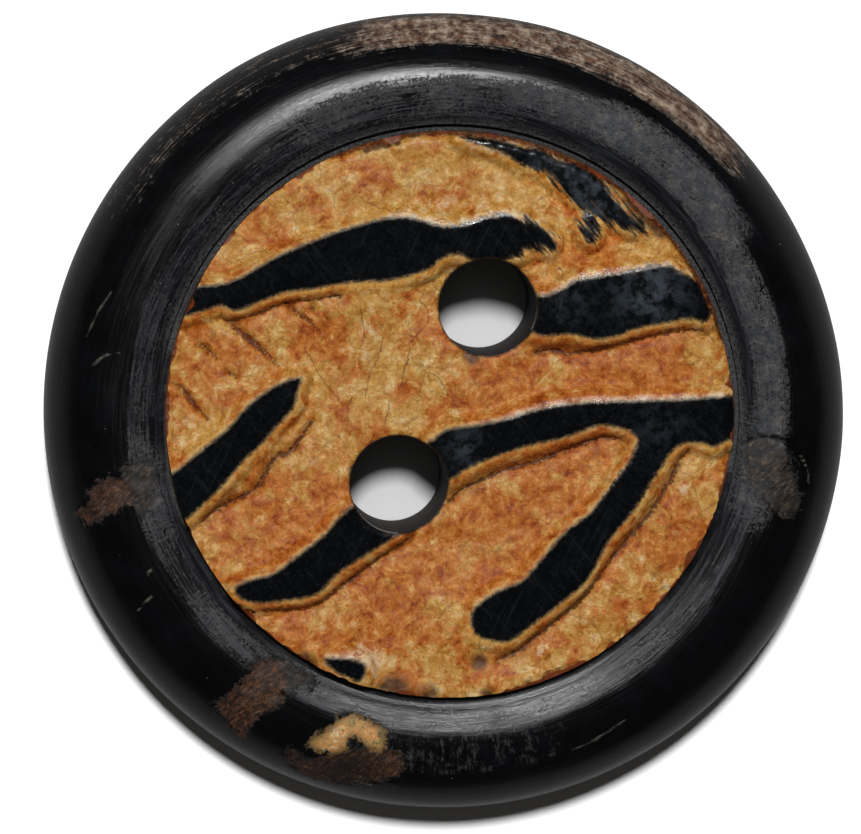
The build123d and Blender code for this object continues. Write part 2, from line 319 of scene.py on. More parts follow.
# the worn shoulders that glitter; there the pale border along a ridge is also painted whiter, a painted
# highlight
glintPlaces = [(-1.9, 8.4, 0.8, 1.0), (-0.6, 8.15, 0.7, 1.0), (0.8, 8.15, 0.8, 1.0), (2.2, 8.5, 0.7, 1.0),
               (3.3, 8.2, 0.5, 0.8), (3.7, 5.0, 0.3, 0.8), (4.6, 5.35, 0.4, 0.7), (5.4, 5.75, 0.5, 1.0),
               (6.4, 5.95, 0.8, 1.0), (7.6, 6.1, 0.7, 1.0), (8.9, 6.3, 0.6, 0.8), (9.9, 5.95, 0.4, 0.7),
               (1.5, -0.25, 0.5, 0.4), (2.7, 0.05, 0.7, 0.9), (4.2, 0.4, 0.8, 1.0), (6.0, 0.6, 1.0, 1.0),
               (8.0, 0.65, 1.0, 0.9), (9.8, 0.7, 0.9, 0.9), (11.4, 0.8, 0.5, 0.8), (1.2, 11.6, 0.7, 1.0),
               (2.4, 11.4, 0.6, 1.0), (3.4, 11.2, 0.5, 1.0), (4.1, 10.9, 0.4, 1.0), (6.4, 9.9, 0.3, 0.8),
               (-2.5, 11.6, 0.8, 0.8), (-0.5, 11.8, 0.8, 0.7), (-4.4, -10.0, 0.7, 1.0), (-3.6, -10.1, 0.3, 0.8)]
# ridge tops that shine: a little rougher, and painted a lighter blue-grey as a painted sheen
sheenPlaces = [(8.3, 5.2, 1.4, 0.8), (4.9, 4.6, 0.8, 0.4), (6.0, 9.0, 1.4, 0.7), (4.2, 10.3, 0.8, 0.7),
               (0.6, -1.3, 0.8, 0.5), (8.8, -0.6, 1.2, 0.25)]
chamferBands = [(14, 116, 0, 99, 1.0), (-14, 14, 0, 99, 0.35)]
dustBands = [(-10, 165, 11, 12.7, 1.0)]

# what a vertex carries for the materials: first the distances, then all that the bark and the rim read
distanceLayers = ["ridge", "footNear", "gouge", "crackNear", "edge", "lip", "brown", "tan", "fibre",
                  "rimCrack", "rimScratch"]
barkLayers = ["ridge", "downward", "fuzz", "footNear", "gouge", "crack", "crackNear", "red", "dirt", "pale",
              "edge", "lip", "cut", "glint", "sheen"]
rimLayers = ["across", "onRim", "cut", "brown", "tan", "fibre", "rimCrack", "rimScratch", "scuff", "stain",
             "haze", "dirt", "sheen", "dust"]


def setLayers(vert, layers, values):
    # a distance that isn't among the values is far
    for name, value in (dict.fromkeys(distanceLayers, farAway) | values).items():
        vert[layers[name]] = value


def barkHeight(place, lift):
    # the skin with its swells, lumps and crumbs, which calm down towards a ridge's flat top
    broad = noise.noise(place * 0.28 + Vector((3, 7, 1))) * bark["broad"] * 2
    middle = noise.fractal(place * 1.0, 0.8, 2.0, 3) * bark["middle"]
    fine = noise.fractal(place * 2.6, 0.9, 2.0, 2) * bark["fine"]
    return bark["skin"] - 0.03 + (broad + middle) * (1 - lift) + fine * (1 - 0.9 * lift)


def shapeBark(vert, layers):
    place = vert.co.copy()
    ridgeGap, _, _, away = ridgeField(place)
    footGap, gougeGap = footField(place)[1], gougeField(place)[1]
    crackSide, crackGap, _, _ = crackField(place)
    inward = turning["discRadius"] - math.hypot(place.x, place.y)
    lip = min(math.hypot(place.x - x, place.y - y) for x, y in drilling["centres"]) - drilling["radius"]
    fuzz = min(1, spots(place, fuzzPlaces))
    downward = 0.5 - 0.5 * away.y
    width = bark["flankUp"] + (bark["flankDown"] - bark["flankUp"]) * downward
    glint = min(1, spots(place, glintPlaces))
    facet = bark["facetWidth"] * glint * soft(0.3, 0.8, away.y)
    t = min(1, max(0, (ridgeGap - facet + noise.noise(place * 3.0) * (0.04 + 0.1 * fuzz)) / width))
    lift = (1 - t * t) ** 1.4 if t < 1 else 0
    skin = barkHeight(place, lift)
    height = skin + (ridgeTop - bark["topGap"] - skin) * lift
    height -= bark["facetSlope"] * min(facet, max(0, ridgeGap + 0.04))
    crease = math.exp(-(max(0, footGap + 0.05) / bark["creaseWidth"]) ** 2)
    crease += 0.5 * math.exp(-(footGap / bark["hollowWidth"]) ** 2)
    height -= crease * bark["creaseDepth"] * (1 - lift * 0.6)
    height -= (1 - soft(-0.06, 0.1, gougeGap)) * bark["gougeDepth"] * (1 - lift)
    height -= spots(place, pits) * (1 - lift)
    chamfer = min(1, bands(place, chamferBands, 4))
    rag = max(0, 0.5 + noise.fractal(place * 2.2 + Vector((0, 0, 4)), 0.8, 2.0, 3))
    chip = (1 - soft(0.0, 0.3, inward)) * bark["edgeRag"] * rag
    broken = max(0, 1 - inward / (bark["chamferWidth"] + 0.12 * rag)) ** 1.7 * bark["chamfer"]
    chip *= 1 - 0.8 * lift
    height -= chip + (broken - chip) * chamfer
    height -= (1 - soft(0.0, bark["lipWidth"], lip)) * bark["lipDrop"]
    vert.co.z = height
    dirt, pale, sheen = (min(1, spots(place, places)) for places in (dirtPlaces, palePlaces, sheenPlaces))
    setLayers(vert, layers, {
        "ridge": ridgeGap, "downward": downward, "fuzz": fuzz, "footNear": footGap, "gouge": gougeGap,
        "crack": crackSide, "crackNear": crackGap, "red": spots(place, redPlaces), "dirt": dirt, "pale": pale,
        "edge": inward + (1 - chamfer) * 0.5, "lip": lip, "mouth": height, "glint": glint, "sheen": sheen,
        "dust": bands(place, dustBands)})


def roundSheet(bm, radius, cell, holes):
    # a grid cut to a disc with round holes: the corners next to a circle are moved onto it, and those
    # next to a ridge's outline or a crease onto that
    segments = math.ceil(2 * radius / cell) + 2
    made = bmesh.ops.create_grid(bm, x_segments=segments, y_segments=segments, size=segments * cell / 2)
    grid = made["verts"]
    circles = [(Vector((0, 0, 0)), radius)] + [(Vector((x, y, 0)), drilling["radius"]) for x, y in holes]
    caught = {}
    for vert in grid:
        for i, (centre, size) in enumerate(circles):
            offset = vert.co - centre
            if abs(offset.length - size) <= cell / 2:
                vert.co = centre + offset.normalized() * size
                caught[vert] = i
                break
        else:
            for i, field in enumerate((ridgeField, footField)):
                foot = field(vert.co)[2]
                if (foot - vert.co).length <= cell / 2 and vert.co.length < radius - cell:
                    vert.co = foot
                    caught[vert] = len(circles) + i
                    break
    for face in {face for vert in grid for face in vert.link_faces}:
        for a, b in ((0, 2), (1, 3)):
            first, second = face.verts[a], face.verts[b]
            if first in caught and caught[first] == caught.get(second):
                bmesh.utils.face_split(face, first, second)
                break
    spare = []
    for face in {face for vert in grid for face in vert.link_faces}:
        middle = face.calc_center_median()
        if middle.length > radius or any((middle - centre).length < size for centre, size in circles[1:]):
            spare.append(face)
    bmesh.ops.delete(bm, geom=spare, context="FACES")
    flat = [vert for vert in bm.verts if vert.co.z == 0 and vert.co.length < radius + cell]
    bmesh.ops.remove_doubles(bm, verts=flat, dist=cell * 0.18)


def openEdges(bm, centre, radius, height=None):
    # the open edges on one circle
    found = []
    for edge in bm.edges:
        if len(edge.link_faces) > 1:
            continue
        if all(abs(math.hypot(v.co.x - centre[0], v.co.y - centre[1]) - radius) < 0.02
               and (height is None or abs(v.co.z - height) < 0.001) for v in edge.verts):
            found.append(edge)
    return found


def sinkWall(bm, edges, centre, rings, layers):
    # pulls a loop of open edges down: each ring has a radius, a share of the way down, and where down is
    for radius, share, level in rings:
        made = bmesh.ops.extrude_edge_only(bm, edges=edges)["geom"]
        edges = [part for part in made if isinstance(part, bmesh.types.BMEdge)]
        for vert in [part for part in made if isinstance(part, bmesh.types.BMVert)]:
            offset = Vector((vert.co.x - centre[0], vert.co.y - centre[1])).normalized() * radius
            top = vert[layers["mouth"]]
            vert.co = (centre[0] + offset.x, centre[1] + offset.y, top + (level - top) * share)
            vert[layers["cut"]] = max(0.02, top - vert.co.z)
    return edges


button = bmesh.new()
layerNames = sorted({*barkLayers, *rimLayers, "mouth"})
for name in layerNames:
    button.verts.layers.float.new(name)
layers = {name: button.verts.layers.float[name] for name in layerNames}
grooveFloor = turning["grooveFloor"]

# half the rim's section: the bead is one vertex spun round the bead's middle, the rest straight lines
start = button.verts.new((turning["coneRadius"], 0, turning["coneTop"]))
sweep = math.pi / 2 + math.asin((turning["crestRadius"] - turning["coneRadius"]) / turning["beadRadius"])
sweep += math.asin((turning["beadHeight"] - turning["underHeight"]) / turning["beadRadius"])
bmesh.ops.spin(button, geom=[start], cent=(turning["crestRadius"], 0, turning["beadHeight"]), axis=(0, 1, 0),
               angle=sweep, steps=turning["beadSteps"])
beadEnd = min(button.verts, key=lambda vert: vert.co.z)
inner = [button.verts.new((turning["grooveRadius"], 0, height))
         for height in (grooveFloor, turning["coneFoot"])]
backCorner = button.verts.new((turning["backRadius"], 0, 0))
lines = [button.edges.new(inner), button.edges.new((inner[1], start)), button.edges.new((beadEnd, backCorner))]
for line, cuts in zip(lines, (2, 8, 6)):
    bmesh.ops.subdivide_edges(button, edges=[line], cuts=cuts)
inOrder = [min(button.verts, key=lambda vert: (round(vert.co.x, 3), vert.co.z))]
while len(inOrder) < len(button.verts):
    ahead = [edge.other_vert(inOrder[-1]) for edge in inOrder[-1].link_edges]
    inOrder.append(next(vert for vert in ahead if vert not in inOrder[-2:]))
travelled = 0
for before, vert in zip(inOrder, inOrder[1:]):
    travelled += (vert.co - before.co).length
    vert[layers["across"]] = travelled
bmesh.ops.spin(button, geom=button.verts[:] + button.edges[:], cent=(0, 0, 0), axis=(0, 0, 1), angle=math.tau,
               steps=turning["steps"], use_merge=True)
bmesh.ops.recalc_face_normals(button, faces=button.faces)
print("rim spun", len(button.faces), "faces")

# marks on the rim: from and to in degrees, inner and outer radius, amount
scuffBands = [(58, 76, 13.1, 14.3, 0.9), (34, 60, 13.2, 14.9, 0.8), (-6, 36, 13.0, 14.2, 0.65),
              (-18, -2, 12.4, 14.1, 0.8), (-50, -18, 12.4, 13.5, 0.06), (76, 118, 12.6, 14.2, 0.3),
              (187, 200, 12.4, 13.6, 0.7), (200, 236, 12.4, 13.6, 0.12), (236, 310, 12.4, 13.4, 0.08),
              (118, 187, 12.3, 13.5, 0.12)]
# the band from 104 to 150 degrees is a painted reflection of the paper on the outer side; the others are
# weathering
stainAndReflectionBands = [(40, 104, 15.55, 17.0, 1.0), (104, 150, 15.7, 17.2, 0.35), (250, 262, 15.0, 16.4, 0.4)]
hazeBands = [(100, 138, 13.1, 15.0, 0.4), (138, 160, 13.4, 15.2, 0.25), (252, 290, 13.4, 15.2, 1.0)]
wearBands = [(12, 104, 0, 99, 1.0)]
glossBands = [(252, 350, 12.3, 13.4, 1.0)]
darkPlaces = [(-4.2, -14.9, 1.5, 1.0), (-6.7, -14.4, 0.5, 0.7), (13.4, -2.8, 1.2, 0.35),
              (-14.8, -4.2, 0.7, 0.4)]


def shapeRim(vert, outwards):
    place, normal = vert.co.copy(), vert.normal.copy()
    radius = math.hypot(place.x, place.y)
    top = place.z > turning["beadHeight"]
    scuff, stain, haze = (min(1, bands(place, places)) * top for places in (scuffBands, stainAndReflectionBands, hazeBands))
    brown, tan, fibre = (field(place)[0] if top else farAway for field in (brownField, tanField, fibreField))
    crack, scratch = (field(place)[1] if top else farAway for field in (rimCrackField, rimScratchField))
    # nothing moves at the flat back and down in the groove, where the fills close the button
    free = soft(0, 0.3, place.z) * soft(0.05, 0.4, radius - turning["grooveRadius"] + max(0, 4.7 - place.z))
    fringe = noise.noise(place * 2.5) * 0.1
    rough = noise.fractal(place * 2.0, 0.8, 2.0, 4)
    move = noise.noise(place * 0.35) * turning["wobble"]
    wearHere = soft(turning["wearFrom"], 17.0, radius)
    move -= bands(place, wearBands, 22) * wearHere * turning["wear"]
    coneShare = (radius - turning["grooveRadius"]) / (turning["coneRadius"] - turning["grooveRadius"])
    if place.z > turning["coneFoot"] - 0.01 and 0 < coneShare < 1:
        move += math.sin(math.pi * coneShare ** 0.8) * turning["coneBulge"]
    move += noise.fractal(place * 2.6, 0.7, 2.0, 3) * turning["scuffDepth"] * min(1, scuff + stain)
    move -= (1 - soft(-0.2, 0.06, brown + fringe)) * turning["brownDepth"] * (1 + rough)
    move -= (1 - soft(-0.2, 0.06, tan + fringe)) * turning["tanDepth"]
    move += (1 - soft(-0.4, 0.1, fibre + fringe)) * turning["fibreDepth"] * rough
    move -= (1 - soft(-0.03, 0.1, crack)) * turning["crackDepth"]
    vert.co += normal * move * free * outwards
    setLayers(vert, layers, {
        "brown": brown, "tan": tan, "fibre": fibre, "rimCrack": crack, "rimScratch": scratch, "scuff": scuff,
        "stain": stain, "haze": haze, "onRim": 1, "dirt": min(1, spots(place, darkPlaces)) * top,
        "sheen": bands(place, glossBands) * top, "dust": bands(place, dustBands) * top})


button.normal_update()
outwards = 1 if max(button.verts, key=lambda vert: vert.co.x).normal.x > 0 else -1
for vert in button.verts:
    shapeRim(vert, outwards)

roundSheet(button, turning["discRadius"], bark["cell"], drilling["centres"])
for vert in button.verts:
    if vert[layers["onRim"]] < 0.5:
        shapeBark(vert, layers)
print("bark disc", len(button.faces), "faces")

# wall of the disc, down to the groove's floor
wallRadius = turning["discRadius"] + 0.012
discFoot = sinkWall(button, openEdges(button, (0, 0), turning["discRadius"]), (0, 0),
                    [(wallRadius, share, grooveFloor) for share in (0.12, 0.45, 1.0)], layers)
# small nicks in the disc's edge, made once its wall hangs from it
for vert in button.verts:
    fade = 1 - (turning["discRadius"] - math.hypot(vert.co.x, vert.co.y)) / bark["nickReach"]
    if vert[layers["onRim"]] < 0.5 and vert[layers["cut"]] < 0.01 and fade > 0:
        nick = max(0, noise.fractal(vert.co * 0.9, 0.9, 2.0, 4)) * bark["nick"] * fade ** 2
        vert.co.xy = vert.co.xy * (1 - nick / turning["discRadius"])
# thread holes, down to the back
holeFeet = []
edgeBreak = drilling["backBreak"]
down = [0.03, 0.1] + [(i + 1) / drilling["rings"] for i in range(1, drilling["rings"])]
rings = [(drilling["radius"], share, edgeBreak) for share in down]
rings += [(drilling["radius"] + edgeBreak * out, 1.0, edgeBreak * up) for out, up in ((0.3, 0.3), (1.0, 0.0))]
for centre in drilling["centres"]:
    holeFeet += sinkWall(button, openEdges(button, centre, drilling["radius"]), centre, rings, layers)
print("walls sunk")

# the groove's floor and the flat back are filled between their loops
floorLoops = openEdges(button, (0, 0), turning["grooveRadius"], grooveFloor) + discFoot
bmesh.ops.triangle_fill(button, edges=floorLoops, use_beauty=True)
backLoops = openEdges(button, (0, 0), turning["backRadius"], 0.0) + holeFeet
bmesh.ops.triangle_fill(button, edges=backLoops, use_beauty=True)
bmesh.ops.recalc_face_normals(button, faces=button.faces)
for face in button.faces:
    face.smooth = True
    onSheet = all(vert[layers["cut"]] < bark["wallSkin"] and vert[layers["onRim"]] < 0.5 for vert in face.verts)
    face.material_index = 0 if onSheet and face.calc_center_median().z > grooveFloor + 0.02 else 1
for edge in button.edges:
    edge.smooth = len(edge.link_faces) == 2 and edge.calc_face_angle(0) < math.radians(smoothAngle)
    onBack = [face.normal.z < -0.999 for face in edge.link_faces]
    if any(onBack) and not all(onBack):  # the flat back ends in a crisp line
        edge.smooth = False
openLeft = [edge for edge in button.edges if len(edge.link_faces) != 2]
print("button closed, open edges:", len(openLeft), "faces:", len(button.faces))
bmesh.ops.scale(button, vec=(mm, mm, mm), verts=button.verts)
buttonMesh = bpy.data.meshes.new("hornButton")
button.to_mesh(buttonMesh)
button.free()
hornButton = bpy.data.objects.new("hornButton", buttonMesh)
bpy.context.collection.objects.link(hornButton)


def linear(hexColour):
    # sRGB hex to the linear values that the shader wants
    parts = [int(hexColour[i:i + 2], 16) / 255 for i in (1, 3, 5)]
    return [p / 12.92 if p <= 0.04045 else ((p + 0.055) / 1.055) ** 2.4 for p in parts] + [1]


def maker(material):
    material.use_nodes = True
    tree = material.node_tree
    tree.nodes.clear()

    def add(kind, *inputs, stops=None, **settings):
        # adds one node with its settings, the values or nodes on its inputs, in order or in a dictionary
        # by name or number, and a ramp's stops
        node = tree.nodes.new("ShaderNode" + kind)
        for name, value in settings.items():
            setattr(node, name, value)
        links = inputs[0] if inputs and isinstance(inputs[0], dict) else dict(enumerate(inputs))
        for name, value in links.items():
            if hasattr(value, "outputs"):
                value = next(socket for socket in value.outputs if socket.enabled)
            if isinstance(value, bpy.types.NodeSocket):
                tree.links.new(value, node.inputs[name])
            elif isinstance(value, str):
                node.inputs[name].default_value = linear(value)
            else:
                node.inputs[name].default_value = value
        if stops:
            ramp = node.color_ramp
            while len(ramp.elements) < len(stops):
                ramp.elements.new(0.5)
            for element, (position, colour) in zip(ramp.elements, stops):
                element.position = position
                element.color = linear(colour)
        return node
    return add


hornIor = 1.54  # of keratin


def startMaterial(name, layers):
    # a new material: what adds its nodes, the place in mm, and the vertex layers that it reads
    material = bpy.data.materials.new(name)
    add = maker(material)
    place = add("VectorMath", {0: add("TexCoord").outputs["Object"], "Scale": 1 / mm}, operation="SCALE")
    read = {layer: add("Attribute", attribute_name=layer).outputs["Fac"] for layer in layers}
    return material, add, place, read


def finishMaterial(add, colour, coats, roughness, relief, finish):
    # lays the coats on, the lowest first: how far each covers, its tone, and how it blends if it doesn't cover
    for share, tone, *blend in coats:
        colour = add("Mix", {0: share, 6: colour, 7: tone}, data_type="RGBA",
                     blend_type=blend[0] if blend else "MIX")
    bump = add("Bump", {"Height": relief, "Distance": finish["bump"] * mm})
    surface = add("BsdfPrincipled", {"Base Color": colour, "Roughness": roughness, "Normal": bump,
                                     "IOR": hornIor, "Specular IOR Level": finish["specular"]})
    add("OutputMaterial", surface)


barkSkin = {
    "clouds": 0.8,  # per mm: orange and tan clouds of about 1 mm
    "mottle": 2.0,  # per mm: blotches of about half a mm
    "grain": 8.0,  # per mm: grain of about 0.1 mm
    "specks": 4.3,  # per mm: red specks of about 0.2 mm
    "fray": 4.5,  # per mm: how the skin's edge frays
    "frost": 6.5,  # per mm: pale grains on the ridge tops
    "crumbs": 3.0,  # per mm: relief of the skin
    "fibres": 1.3,  # per mm, drawn out along fibreTurn
    "scrapes": 1.4,  # per mm, drawn out along scrapeTurn
    "network": 0.62,  # per mm: fine cracks about 1.6 mm apart
    "veins": 1.5,  # per mm: thin red lines in the skin
    "fibreTurn": -50.0,  # degrees: the way the fibres run at frayed ridge edges
    "scrapeTurn": 64.0,  # degrees: the way the ridge tops were rubbed
    "crackWidth": 0.035,  # mm
    "roughness": 0.5,
    "glintRoughness": 0.14,
    "bump": 0.024,  # mm
    "specular": 0.14,
}


def makeBark():
    # Bark of a natural horn, left as it grew and only brushed: tan and orange keratin skin, matt in the
    # valleys and shiny on the worn shoulders; the ridge tops are ground flat into the black horn below
    material, add, place, read = startMaterial("naturalHornBark", barkLayers)
    warp = add("TexNoise", {"Vector": place, "Scale": 0.9, "Detail": 3.0})
    warpAway = add("VectorMath", warp.outputs["Color"], (0.5, 0.5, 0.5), operation="SUBTRACT")
    # the place bent a little for the clouds, and further for the hair cracks and the veins
    bent, netPlace, veinPlace = (
        add("VectorMath", place, add("VectorMath", {0: warpAway, "Scale": reach}, operation="SCALE"),
            operation="ADD") for reach in (0.7, 0.8, 2.6))
    turned, scraped = (
        add("Mapping", {"Vector": place, "Rotation": (0, 0, math.radians(barkSkin[turn])), "Scale": stretch},
            vector_type="TEXTURE")
        for turn, stretch in (("fibreTurn", (2.2, 0.32, 1.0)), ("scrapeTurn", (6.0, 0.14, 1.0))))
    fibres, clouds, mottle, grain, specks, fray, frost, scrapes, crumbs = (
        add("TexNoise", {"Vector": where, "Scale": perMm, "Detail": detail, "Roughness": rough})
        for where, perMm, detail, rough in (
            (turned, barkSkin["fibres"], 5.0, 0.7), (bent, barkSkin["clouds"], 8.0, 0.7),
            (bent, barkSkin["mottle"], 6.0, 0.66), (place, barkSkin["grain"], 3.0, 0.7),
            (place, barkSkin["specks"], 4.0, 0.75), (place, barkSkin["fray"], 5.0, 0.75),
            (place, barkSkin["frost"], 4.0, 0.8), (scraped, barkSkin["scrapes"], 4.0, 0.6),
            (place, barkSkin["crumbs"], 6.0, 0.75)))
    redder = add("Math", read["red"], -0.16, clouds, operation="MULTIPLY_ADD")
    warm = add("ValToRGB", mottle, stops=[(0.3, "#6C2C08"), (0.4, "#924814"), (0.5, "#A86226"),
                                          (0.6, "#B67838"), (0.72, "#C69C60")])
    mellow = add("ValToRGB", mottle, stops=[(0.3, "#925A1E"), (0.4, "#A87630"), (0.5, "#B48844"),
                                            (0.6, "#C09C60"), (0.72, "#D2B88A")])
    zone = add("MapRange", redder, 0.42, 0.57, interpolation_type="SMOOTHSTEP")
    skin = add("Mix", {0: zone, 6: warm, 7: mellow}, data_type="RGBA")
    grainTone = add("MapRange", grain, 0.3, 0.7, 0.72, 1.27)
    # dark red specks, and pale places: partly rubbed skin, partly painted highlights on the upper edges of
    # ridges
    speckMask = add("MapRange", specks, 0.6, 0.7, 0.0, 0.75)
    rubbedAndHighlight = add("Math", read["pale"], 0.3, mottle, operation="MULTIPLY_ADD")
    rubbedAndHighlightMask = add("MapRange", rubbedAndHighlight, 0.64, 0.85, 0.0, 0.8)
    # a net of hair cracks, only here and there, and thin red veins
    net = add("TexVoronoi", {"Vector": netPlace, "Scale": barkSkin["network"]}, feature="DISTANCE_TO_EDGE")
    netLine = add("MapRange", net, 0.008, 0.028, 1.0, 0.0)
    netHere = add("MapRange", clouds, 0.48, 0.56, 0.0, 0.38)
    netMask = add("Math", netLine, netHere, operation="MULTIPLY")
    veins = add("TexVoronoi", {"Vector": veinPlace, "Scale": barkSkin["veins"]}, feature="DISTANCE_TO_EDGE")
    veinLine = add("MapRange", veins, 0.0, 0.09, 1.0, 0.0)
    veinHere = add("MapRange", grain, 0.42, 0.6, 0.05, 0.5)
    veinMask = add("Math", veinLine, veinHere, operation="MULTIPLY")
    # drawn cracks and gouges are stained dark, and the skin is painted darker in and round the creases at the
    # feet of the ridges; a crack wavers by a few hundredths of a mm and ends where its drawn width does
    grainAway = add("Math", specks, 0.5, operation="SUBTRACT")
    crackSide = add("Math", grainAway, 0.26, read["crack"], operation="MULTIPLY_ADD")
    crackSide = add("Math", crackSide, operation="ABSOLUTE")
    crackWidth = barkSkin["crackWidth"]
    crackLine = add("MapRange", crackSide, crackWidth * 0.2, crackWidth * 1.3, 1.0, 0.0)
    crackClose = add("MapRange", read["crackNear"], 0.08, 0.16, 1.0, 0.0)
    crack = add("Math", crackLine, crackClose, operation="MULTIPLY")
    crackShare = add("Math", crack, 0.55, operation="MULTIPLY")
    stain = add("MapRange", read["footNear"], -0.05, 0.28, 0.45, 0.0)
    creaseEdge = add("Math", grainAway, 0.7, read["footNear"], operation="MULTIPLY_ADD")
    crease = add("MapRange", creaseEdge, -0.02, 0.06, 0.8, 0.0)
    gougeEdge = add("Math", grainAway, 0.45, read["gouge"], operation="MULTIPLY_ADD")
    gougeMask = add("MapRange", gougeEdge, -0.07, 0.04, 0.9, 0.0)
    gougeTone = add("ValToRGB", fibres, stops=[(0.4, "#3C160A"), (0.56, "#64280F"), (0.7, "#9A6440")])
    dirt = add("Math", mottle, read["dirt"], operation="MULTIPLY")
    dirtMask = add("MapRange", dirt, 0.14, 0.36, 0.0, 0.9)
    dirtTone = add("ValToRGB", specks, stops=[(0.4, "#2A1A14"), (0.6, "#5A3826")])
    # the skin thins to grey-cream above a ridge and to olive below it, then the black horn starts
    frayMix = add("Mix", {0: read["fuzz"], 2: fray, 3: fibres})
    edgeAway = add("Math", frayMix, 0.5, operation="SUBTRACT")
    fuzzReach = add("MapRange", read["fuzz"], 0.0, 1.0, 0.34, 1.9)
    ridge = add("Math", edgeAway, fuzzReach, read["ridge"], operation="MULTIPLY_ADD")
    ridge = add("Math", read["fuzz"], -0.12, ridge, operation="MULTIPLY_ADD")
    paleReach = add("MapRange", read["downward"], 0.2, 0.8, 0.26, 0.3)
    paleMost = add("MapRange", mottle, 0.42, 0.58, 0.15, 0.8)
    # painted light: the flank on a ridge's lower side, away from the lamp, is painted lighter against the shade
    # that falls on it
    paintedFlankLight = add("Math", read["downward"], 0.42, 1.0, operation="MULTIPLY_ADD")
    paintedFlankLight = add("MapRange", ridge, 0.3, 0.75, paintedFlankLight)
    paleIn = add("MapRange", ridge, 0.05, paleReach, paleMost, 0.0, interpolation_type="SMOOTHSTEP")
    paleTone = add("Mix", {0: read["downward"], 6: "#BEA070", 7: "#B8904E"}, data_type="RGBA")
    # painted highlight: the border is whiter where the worn shoulders glitter
    paleTone = add("Mix", {0: read["glint"], 6: paleTone, 7: "#CBBBA2"}, data_type="RGBA")
    greyEdge = add("MapRange", ridge, 0.0, 0.13, 0.9, 0.0)
    # black horn on the ridge tops, with dust in its scratches, and a painted blue-grey sheen where the tops
    # shine
    black = add("ValToRGB", frost, stops=[(0.5, "#050608"), (0.62, "#0B0D10"), (0.72, "#1C2025"),
                                          (0.82, "#4A5157")])
    for pattern, low, high, most, tone in (
            (fibres, 0.55, 0.72, 0.22, "#2C3034"), (scrapes, 0.58, 0.74, 0.25, "#2E353C"),
            (mottle, 0.45, 0.6, read["sheen"], "#394149")):
        share = add("MapRange", pattern, low, high, 0.0, most)
        black = add("Mix", {0: share, 6: black, 7: tone}, data_type="RGBA")
    edgeFrom = add("MapRange", read["fuzz"], 0.0, 1.0, -0.1, -0.2)
    edgeTo = add("MapRange", read["fuzz"], 0.0, 1.0, 0.05, 0.2)
    topEdge = add("MapRange", ridge, edgeFrom, edgeTo, 1.0, 0.0, interpolation_type="SMOOTHSTEP")
    # the broken edge of the disc is red-brown, and so is the top of its wall, with black horn under it
    edgeLine = add("Math", edgeAway, 0.3, read["edge"], operation="MULTIPLY_ADD")
    edgeMask = add("MapRange", edgeLine, 0.12, 0.22, 0.9, 0.0)
    edgeTone = add("ValToRGB", specks, stops=[(0.38, "#1E0C06"), (0.52, "#4A2210"), (0.66, "#845030")])
    cutIn = add("MapRange", read["cut"], 0.0, 0.02)
    cutDepth = add("Math", edgeAway, 0.25, read["cut"], operation="MULTIPLY_ADD")
    cutTone = add("ValToRGB", cutDepth, stops=[(0.03, "#6A3218"), (0.14, "#3A1C10"), (0.24, "#08080A")])
    lipLine = add("Math", grainAway, 0.3, read["lip"], operation="MULTIPLY_ADD")
    lipMask = add("MapRange", lipLine, 0.02, 0.1, 0.85, 0.0)
    # shine: the worn shoulders beside the ridges and the disc's edge are glossiest
    shoulder = add("MapRange", ridge, 0.24, 0.42, 1.0, 0.0)
    broken = add("MapRange", specks, 0.4, 0.5, 0.0, read["glint"])
    glintShare = add("Math", shoulder, broken, operation="MULTIPLY")
    offWall = add("MapRange", cutIn, 0.0, 1.0, 0.8, 0.0)
    edgeShine = add("MapRange", read["edge"], 0.35, 0.45, offWall, 0.0)
    glintShare = add("Math", glintShare, edgeShine, operation="MAXIMUM")
    rough = add("Math", grainAway, -0.8, barkSkin["roughness"], operation="MULTIPLY_ADD")
    rough = add("Mix", {0: shoulder, 2: rough, 3: 0.6})
    rough = add("Mix", {0: glintShare, 2: rough, 3: barkSkin["glintRoughness"]})
    rough = add("Math", rough, 0.12, operation="MAXIMUM")
    topRough = add("MapRange", mottle, 0.4, 0.62, 0.14, 0.22)
    topRough = add("Math", read["sheen"], 0.1, topRough, operation="MULTIPLY_ADD")
    rough = add("Mix", {0: topEdge, 2: rough, 3: topRough})
    # relief: crumbs on the skin, long fibres on the tops, and the cracks sunk in
    topRelief = add("Math", fibres, 0.3, 0.35, operation="MULTIPLY_ADD")
    relief = add("Mix", {0: topEdge, 2: crumbs, 3: topRelief})
    offTop = add("Math", 1.0, topEdge, operation="SUBTRACT")
    lines = add("Math", crack, netMask, operation="MAXIMUM")
    lines = add("Math", lines, offTop, operation="MULTIPLY")
    relief = add("Math", lines, -0.35, relief, operation="MULTIPLY_ADD")
    coats = [(1.0, grainTone, "MULTIPLY"), (speckMask, "#5E2410"), (rubbedAndHighlightMask, "#C8B08C"),
             (netMask, "#5E2C12"), (veinMask, "#8A3A0C"), (crackShare, "#5A220C"), (stain, "#7E3C14"),
             (crease, "#32160C"), (gougeMask, gougeTone), (dirtMask, dirtTone), (1.0, paintedFlankLight, "MULTIPLY"),
             (paleIn, paleTone), (greyEdge, "#463C2A"), (topEdge, black), (edgeMask, edgeTone),
             (cutIn, cutTone), (lipMask, "#241A14")]
    finishMaterial(add, skin, coats, rough, relief, barkSkin)
    return material


hornPolish = {
    "roughness": 0.2,
    "turnedRoughness": 0.27,
    "specular": 0.26,
    "turningLines": 9.0,  # per mm across the section
    "hairLines": 9.0,  # per mm round the rim: scratches that cross the bead
    "bump": 0.009,  # mm
}


